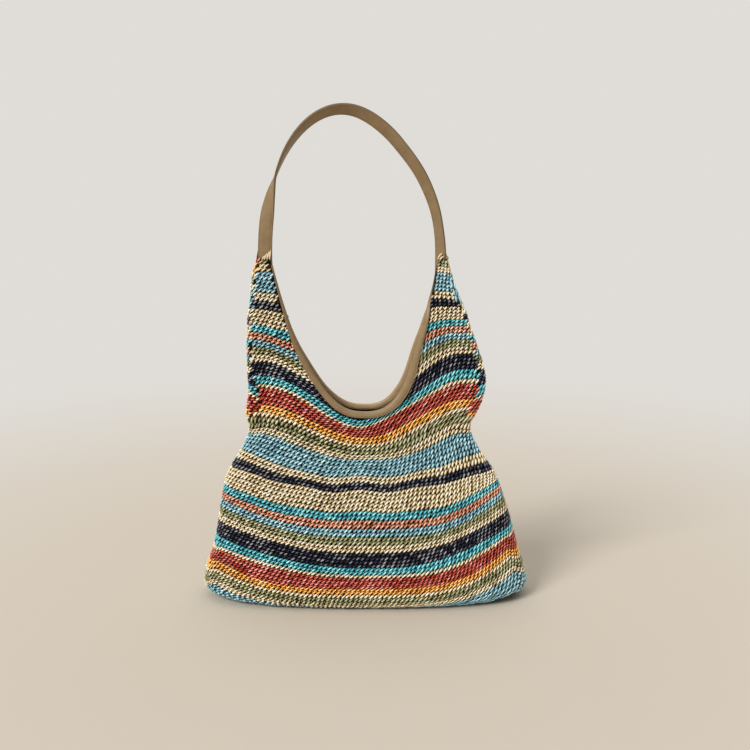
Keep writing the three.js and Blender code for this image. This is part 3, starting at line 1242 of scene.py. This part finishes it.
    def _yarn(self, yarn: Yarn, rng: np.random.Generator) -> None:
        """Builds all the stitches of one yarn as one piece.

        Args:
            yarn: The yarn.
            rng: Seeded source of the stitches' small differences.
        """
        form = self.form
        listed = np.concatenate([self._stitches(stripe) for stripe in self.stripes if stripe.yarn is yarn])
        turn, row, step, slid = listed.T
        stitch = self._stitch()
        mesh = repeated(stitch, len(listed))
        local = coordinates(mesh).reshape(len(listed), len(stitch.vertices), 3)
        local += rng.uniform(-self.jitter, self.jitter, (len(listed), 1, 3))
        around = turn[:, None] + local[..., 0] / self.stitch_width * step[:, None]
        upward = row[:, None] + 0.5 + local[..., 1] / self.row_height
        level = form.level(around, upward, np.broadcast_to(slid[:, None] > 0, around.shape))
        points = form.place(around.ravel(), level.ravel(), local[..., 2].ravel() + self.bed)
        set_coordinates(mesh, form.turn_horns(points))
        # Painted light on each stitch: paler where it stands out from the bed as a highlight, darker deep
        # down as shade, on top of its own random tone.
        crest = np.clip((local[..., 2] - self.crest_low) / self.crest_rise, 0.0, 1.0)
        tones = rng.normal(self.middle_tone, self.tone_spread, (len(listed), 1))
        set_tones(mesh, tones + self.painted_crest_light * (crest - 0.5))
        straw = StrawYarnFinish(yarn, f"paper_straw_{yarn.label}").material()
        add_piece(f"stitches_{yarn.label}", mesh, [straw])

    def _stitches(self, stripe: Stripe) -> np.ndarray:
        """Lists a stripe's stitches that lie outside the mouth and below the tips.

        Args:
            stripe: The stripe.

        Returns:
            A row for each stitch: its turn, its row, the turn to its neighbour, and 1 where it lies beyond
            a pleat or on the back, otherwise 0.
        """
        form = self.form
        around = np.arange(0.0, form.FULL_TURN, self.sample_step)
        levels = form.level(around, np.full(around.shape, stripe.first + stripe.rows / 2))
        count = round(form.FULL_TURN * float(form.quarter_length(levels).mean()) / self.stitch_width)
        column = np.tile(np.arange(count), stripe.rows)
        row = stripe.first + np.repeat(np.arange(stripe.rows), count)
        turn = (column + self.row_drift * row) * form.FULL_TURN / count
        step = np.full(len(turn), form.FULL_TURN / count)
        on_back = np.mod(turn, form.FULL_TURN) < form.FULL_TURN / 2
        listed = []
        for slid in (False, True):
            level = form.level(turn, row + 0.5, slid)
            beyond = form.beyond_pleat(turn, level)
            gap, _ = form.mouth_field(form.surface(turn, level))
            near_tip = smoothstep(level, form.turn_z, form.binding_top_z)
            room = self.edge_room * (1.0 + np.where(on_back, near_tip, 0.0))
            kept = (gap > room) & (level < form.tip_z + self.tip_room)
            kept &= beyond > self.pleat_room if slid else beyond < -self.pleat_room
            listed.append(np.stack((turn, row, step, slid | on_back), axis=-1)[kept])
        return np.concatenate(listed)


@dataclass
class MouthBinding:
    """A strip of leather folded over the front or the back edge of the mouth."""

    form: BagForm
    side: Side
    thick: float = 1.2
    front_cover: float = 6.0
    back_cover: float = 4.4
    front_stand: float = 0.9
    front_dip: float = 0.9
    back_stand: float = 3.2
    steps: int = 150
    arc_steps: int = 10

    def __post_init__(self) -> None:
        """Sets up how the strip changes along the edge.

        The flaps' reach and the strip's slimming go by the share of the way up to the tips, which is below 0
        on the left for the reach. How far the fold stands off the edge goes by the share of the edge, since
        the fold dips in the middle of the front and stands off on both sides of it.
        """
        front = self.side is Side.FRONT
        cover = self.front_cover if front else self.back_cover
        stand = self.front_stand if front else self.back_stand
        self.cover = Profile(
            (-0.96, 0.1), (-0.85, 0.3), (-0.7, 0.7), (-0.56, 1.6), (-0.44, 2.1), (-0.32, 3.1), (-0.15, 5.0),
            (0.0, cover), (0.5, 4.0), (0.7, 1.9), (0.78, 0.9), (0.88, 0.5), (0.96, 0.1),
        )
        self.slim = Profile((0.5, 1.0), (0.7, 0.65), (0.96, 0.4))
        dip = self.front_dip if front else 0.0
        self.stand = Profile(
            (-0.78, 0.0), (-0.67, 1.0), (-0.57, 1.6), (-0.35, 0.0), (0.0, -dip), (0.35, stand), (0.58, stand),
            (0.75, 0.5 * stand), (0.95, 0.0),
        )

    def build(self) -> None:
        """Builds the folded strip."""
        name = f"{self.side.label}_mouth_binding"
        outline = self._outline()
        mesh = swept(self.steps, len(outline) - 1, lambda u, v: self._wrap(u, v, outline))
        # The back binding gets a paler copy of the leather, painted light over the shade it stands in.
        shades = LeatherFinish if self.side is Side.FRONT else LeatherWithPaintedLight
        leather = shades(f"{self.side.label}_binding_leather").material()
        add_piece(f"{name}_fold", mesh, [leather], [name])

    def _outline(self) -> np.ndarray:
        """Sets out the section of the fold.

        Returns:
            The section's corners, one a row: the share of the way down the flap, the depth at the fold and
            the offset from the middle of the wall.
        """
        half = self.form.wall / 2 + self.form.fit + self.thick
        inner = half - self.thick
        angle = np.linspace(math.pi / 2, -math.pi / 2, self.arc_steps + 1)
        flap = np.array([1.0, 0.96, 0.88, 0.8, 0.6, 0.3])
        bulge = np.array([-0.6, 0.0, 0.1, -0.3, 0.4, 0.5])
        outer_down = np.stack((flap, np.zeros(len(flap)), half + bulge), axis=-1)
        fold = np.stack((np.zeros(len(angle)), -half * np.cos(angle), half * np.sin(angle)), axis=-1)
        back_down = outer_down[::-1] * (1.0, 1.0, -1.0)
        low, high = flap[0], flap[-1]
        inside = np.array([[low, 0.0, -inner], [high, 0.0, -inner], [high, 0.0, inner], [low, 0.0, inner]])
        return np.concatenate((outer_down, fold, back_down, inside, outer_down[:1]))

    def _wrap(self, u: np.ndarray, v: np.ndarray, outline: np.ndarray) -> np.ndarray:
        """Finds points of the strip.

        Args:
            u: Shares along the mouth's edge.
            v: Shares round the section.
            outline: The section's corners.

        Returns:
            Points in millimetres.
        """
        form = self.form
        index = np.round(v * (len(outline) - 1)).astype(int)
        flap, fold, offset = outline[index].T
        share = 2.0 * u - 1.0
        _, edge_z = form.mouth_edge(share, np.zeros_like(share))
        height = (edge_z - form.mouth_z) / (form.tip_z - form.mouth_z)
        cover = self.cover(height * np.sign(share))
        slim = self.slim(height)
        centre = form.wall / 2
        crest = (form.fit + self.thick) * slim
        squeeze = np.minimum(1.0, (cover + crest) / (centre + crest))
        depth = (centre + fold + crest) * squeeze - crest + flap * np.maximum(cover - centre, 0.0)
        x, z = form.mouth_edge(share, depth - self.stand(share) * (1.0 - flap))
        y = self.side.value * (form.skin_depth(x, z) - centre + offset * slim)
        return form.turn_horns(np.stack((x, y, z), axis=-1))


@dataclass
class ShoulderStrap:
    """A narrow folded leather strap that stands up in an arch with one twist."""

    form: BagForm
    width: float = 15.0
    thick: float = 2.6
    rise: float = 152.0
    steps: int = 220
    tuck: float = 16.0
    painted_steps: float = 2.2
    length_steps: int = 400
    length: float = field(default=0.0, init=False)

    def __post_init__(self) -> None:
        """Sets up the strap's lean and roll along its middle line, and measures the line."""
        quarter = math.pi / 2
        self.lean = Profile(
            (0.0, 0.0), (0.3, -5.8), (0.5, -10.0), (0.62, -12.6), (0.72, -10.8), (0.82, -4.6), (0.91, -0.8),
            (1.0, 0.0),
        )
        self.roll = Profile(
            (0.0, -quarter), (0.08, math.radians(-80.0)), (0.14, math.radians(-40.0)), (0.2, 0.0),
            (0.5, math.radians(44.0)), (0.65, math.radians(54.0)), (0.82, math.radians(46.0)),
            (0.93, math.radians(36.0)), (1.0, self.form.right_turn + quarter),
        )
        line = self._line(np.linspace(0.0, 1.0, self.length_steps))
        self.length = float(np.linalg.norm(np.diff(line, axis=0), axis=1).sum())

    def build(self) -> None:
        """Builds the strap."""
        outline = self._outline()
        mesh = swept(self.steps, len(outline) - 1, lambda u, v: self._wrap(u, v, outline))
        painted = self.painted_steps / (len(outline) - 1)
        leather = LeatherFinish("strap_leather", edge_share=painted).material()
        add_piece("shoulder_strap_leather", mesh, [leather], ["shoulder_strap"])

    def _outline(self) -> np.ndarray:
        """Sets out the section of the strap, with a pressed line near each edge.

        Returns:
            The section's corners, one a row: the distance across the face and the distance out of it.
        """
        w, t = self.width / 2, self.thick / 2
        quarter = np.array([
            (w, 0.0), (w - 0.12, 0.55 * t), (w - 0.55, 0.92 * t), (w - 1.3, t), (w - 1.75, 0.65 * t),
            (w - 2.2, t), (0.5 * w, 1.08 * t), (0.0, 1.12 * t),
        ])
        top = np.concatenate((quarter, quarter[-2::-1] * (-1.0, 1.0)))
        return np.concatenate((top, top[-2:0:-1] * (1.0, -1.0), top[:1]))

    def _line(self, share: np.ndarray) -> np.ndarray:
        """Finds points of the strap's middle line.

        Args:
            share: Shares along the arch, below 0 and above 1 on the straight ends.

        Returns:
            Points in millimetres.
        """
        form = self.form
        angle = math.pi * (1.0 - np.clip(share, 0.0, 1.0))
        beyond = np.minimum(0.0, share) + np.minimum(0.0, 1.0 - share)
        x = form.horn_lean + form.strap_x * np.cos(angle) + self.lean(share)
        z = form.tip_z + self.rise * np.sin(angle) + beyond * self.length
        return np.stack((x, np.zeros_like(x), z), axis=-1)

    def point(self, share: np.ndarray, across: np.ndarray, out: np.ndarray) -> np.ndarray:
        """Finds points on or beside the strap.

        Args:
            share: Shares along the arch.
            across: Distances across the strap's face.
            out: Distances out of its face from the middle line.

        Returns:
            Points in millimetres.
        """
        near = 1e-3
        along = self._line(share + near) - self._line(share - near)
        along /= np.linalg.norm(along, axis=-1, keepdims=True)
        back = np.array([0.0, 1.0, 0.0])
        outward = np.cross(along, back)
        roll = self.roll(share)[..., None]
        face = outward * np.cos(roll) + back * np.sin(roll)
        side = np.cross(face, along)
        return self._line(share) + side * across[..., None] + face * out[..., None]

    def _wrap(self, u: np.ndarray, v: np.ndarray, outline: np.ndarray) -> np.ndarray:
        """Finds points of the strap's skin.

        Args:
            u: Shares along the strap with its tucked ends.
            v: Shares round the section.
            outline: The section's corners.

        Returns:
            Points in millimetres.
        """
        index = np.round(v * (len(outline) - 1)).astype(int)
        across, out = outline[index].T
        end = self.tuck / self.length
        return self.point(u * (1.0 + 2.0 * end) - end, across, out)


@dataclass(frozen=True)
class LashingStrand:
    """Where a strand starts and ends across the horn, and how high it reaches, in millimetres."""

    foot: float
    head: float
    top_z: float


@dataclass
class TipLashing:
    """Slanted strands of cream yarn that sew a strap end to its horn tip, on the front and the back."""

    form: BagForm
    horn: Horn
    foot_z: float = 371.5
    foot_out: float = 6.0
    head_out: float = 2.0
    swell: float = 1.3
    yarn_radius: float = 0.9
    tone: float = 0.3
    sides: int = 10
    rings: int = 10
    left_strands: tuple[LashingStrand, ...] = (
        LashingStrand(-3.2, 0.2, 376.6), LashingStrand(-0.6, 2.6, 378.8), LashingStrand(2.2, 4.8, 381.0),
        LashingStrand(5.0, 6.2, 382.2),
    )
    right_strands: tuple[LashingStrand, ...] = (
        LashingStrand(1.2, 5.0, 379.8), LashingStrand(4.4, 6.9, 376.2),
    )

    def build(self) -> None:
        """Builds the strands of both faces as one piece."""
        bm = new_bmesh()
        for side in Side:
            self._sew(bm, side)
        bmesh.ops.recalc_face_normals(bm, faces=bm.faces)
        mesh = finished(bm, "lashing")
        set_tones(mesh, np.full(len(mesh.vertices), self.tone))
        yarn = StrawYarnFinish(Yarn.CREAM, f"lashing_straw_{self.horn.label}").material()
        add_piece(f"{self.horn.label}_tip_lashing", mesh, [yarn])

    def _sew(self, bm: bmesh.types.BMesh, side: Side) -> None:
        """Adds the strands of one face.

        Args:
            bm: The bmesh that gets the strands.
            side: The face.
        """
        form = self.form
        flat = new_bmesh()
        for strand in self.right_strands if self.horn is Horn.RIGHT else self.left_strands:
            foot, head = strand.foot, strand.head
            low, high = self.foot_z, strand.top_z
            points = (
                (foot, low, self.foot_out - self.swell),
                ((2 * foot + head) / 3, (2 * low + high) / 3, self.foot_out + self.swell),
                ((foot + 2 * head) / 3, (low + 2 * high) / 3, self.head_out + 2 * self.swell),
                (head, high, self.head_out),
            )
            StitchLeg(points, self.yarn_radius, self.sides, self.rings).add_to(flat)
        mesh = finished(flat, "strands")
        x, z, out = coordinates(mesh).T
        centre = form.lean(z) + self.horn.value * form.strap_x
        set_coordinates(mesh, form.turn_horns(np.stack((centre + x, side.value * out, z), axis=-1)))
        bm.from_mesh(mesh)
        bpy.data.meshes.remove(mesh)


@dataclass(frozen=True)
class SoftLight:
    """A wide and distant light: the way its rays run, its strength and the angle that it fills."""

    name: str
    towards: tuple[float, float, float]
    strength: float
    angle: float

    def build(self) -> None:
        """Adds the light."""
        lamp = bpy.data.lights.new(self.name, "SUN")
        lamp.energy = self.strength
        lamp.angle = self.angle
        light = new_object(self.name, lamp)
        light.rotation_euler = Vector(self.towards).to_track_quat("-Z", "Y").to_euler()


@dataclass
class Studio:
    """A pale floor and backdrop, soft light, and a camera that looks a little down at the bag's front.

    The camera's place is in millimetres, and the floor's size and its fade are in metres.
    """

    camera_place: tuple[float, float, float] = (10.7, -1082.0, 478.0)
    pitch: float = math.radians(12.0)
    focal_pixels: float = 1030.0
    image_pixels: float = 750.0
    sensor: float = 36.0
    floor_size: float = 12.0
    floor_colour: str = "#C5BBAC"
    floor_roughness: float = 0.9
    backdrop_colour: str = "#E0DDD8"
    fade_start: float = 0.25
    fade_end: float = 1.3
    fill_colour: str = "#E8E4DE"
    fill_strength: float = 0.46
    lights: tuple[SoftLight, ...] = (
        SoftLight("light_from_upper_left", (0.6, 0.62, -0.7), 2.5, math.radians(24.0)),
        SoftLight("light_from_above", (0.0, -0.3, -1.0), 1.0, math.radians(70.0)),
    )

    def build(self) -> None:
        """Sets up the floor, the light and the camera."""
        self._floor()
        for light in self.lights:
            light.build()
        self._world()
        self._camera()
        bpy.context.scene.view_settings.view_transform = "Standard"

    def _floor(self) -> None:
        """Adds the floor, which isn't part of the bag and fades into the backdrop far from it."""
        bm = bmesh.new()
        bmesh.ops.create_grid(bm, x_segments=1, y_segments=1, size=self.floor_size / 2)
        mesh = finished(bm, "floor")
        material, tree, shader = new_material("pale_floor")
        shader.inputs["Base Color"].default_value = hex_colour(self.floor_colour)
        shader.inputs["Roughness"].default_value = self.floor_roughness
        where = add_node(tree, "ShaderNodeTexCoord")
        away = add_node(tree, "ShaderNodeVectorMath", {"operation": "LENGTH"}, {0: where.outputs["Object"]})
        fade = add_node(
            tree, "ShaderNodeMapRange",
            {"interpolation_type": "SMOOTHSTEP", "From Min": self.fade_start, "From Max": self.fade_end},
            {"Value": away.outputs["Value"]},
        )
        shown = add_node(
            tree, "ShaderNodeMath", {"operation": "MULTIPLY"},
            {0: fade.outputs["Result"], 1: self._seen(tree)},
        )
        backdrop = add_node(tree, "ShaderNodeEmission", {"Color": hex_colour(self.backdrop_colour)})
        mixed = add_node(
            tree, "ShaderNodeMixShader", None,
            {0: shown.outputs[0], 1: shader.outputs["BSDF"], 2: backdrop.outputs["Emission"]},
        )
        tree.links.new(mixed.outputs[0], tree.nodes["Material Output"].inputs["Surface"])
        mesh.materials.append(material)
        floor = new_object("floor", mesh)

    def _seen(self, tree: bpy.types.NodeTree) -> bpy.types.NodeSocket:
        """Adds nodes that give 1 to rays that see the background, straight or in a gloss, and 0 to others.

        Args:
            tree: The node tree that gets the nodes.

        Returns:
            The socket with that number.
        """
        path = add_node(tree, "ShaderNodeLightPath")
        seen = path.outputs["Is Camera Ray"]
        for kind in ("Is Glossy Ray", "Is Transmission Ray"):
            either = add_node(
                tree, "ShaderNodeMath", {"operation": "MAXIMUM"}, {0: seen, 1: path.outputs[kind]},
            )
            seen = either.outputs[0]
        return seen

    def _world(self) -> None:
        """Gives the world an even pale light, and a pale backdrop to what is seen behind the floor."""
        world = bpy.data.worlds.new("pale_backdrop")
        world.use_nodes = True
        tree = world.node_tree
        fill = tree.nodes["Background"]
        fill.inputs["Color"].default_value = hex_colour(self.fill_colour)
        fill.inputs["Strength"].default_value = self.fill_strength
        backdrop = add_node(tree, "ShaderNodeBackground", {"Color": hex_colour(self.backdrop_colour)})
        mixed = add_node(
            tree, "ShaderNodeMixShader", None,
            {0: self._seen(tree), 1: fill.outputs[0], 2: backdrop.outputs[0]},
        )
        tree.links.new(mixed.outputs[0], tree.nodes["World Output"].inputs["Surface"])
        bpy.context.scene.world = world

    def _camera(self) -> None:
        """Adds the camera."""
        camera = bpy.data.cameras.new("camera")
        camera.sensor_width = self.sensor
        camera.lens = self.sensor * self.focal_pixels / self.image_pixels
        holder = new_object("camera", camera)
        holder.location = Vector(self.camera_place) * MM
        holder.rotation_euler = (math.pi / 2 - self.pitch, 0.0, 0.0)
        bpy.context.scene.camera = holder


def main() -> None:
    """Builds the bag's pieces in order, then the studio."""
    logging.basicConfig(level=logging.INFO, format="%(name)s %(message)s")
    form = BagForm()
    CrochetBody(form).build()
    for side in Side:
        MouthBinding(form, side).build()
    ShoulderStrap(form).build()
    for horn in Horn:
        TipLashing(form, horn).build()
    Studio().build()


if __name__ == "__main__":
    main()
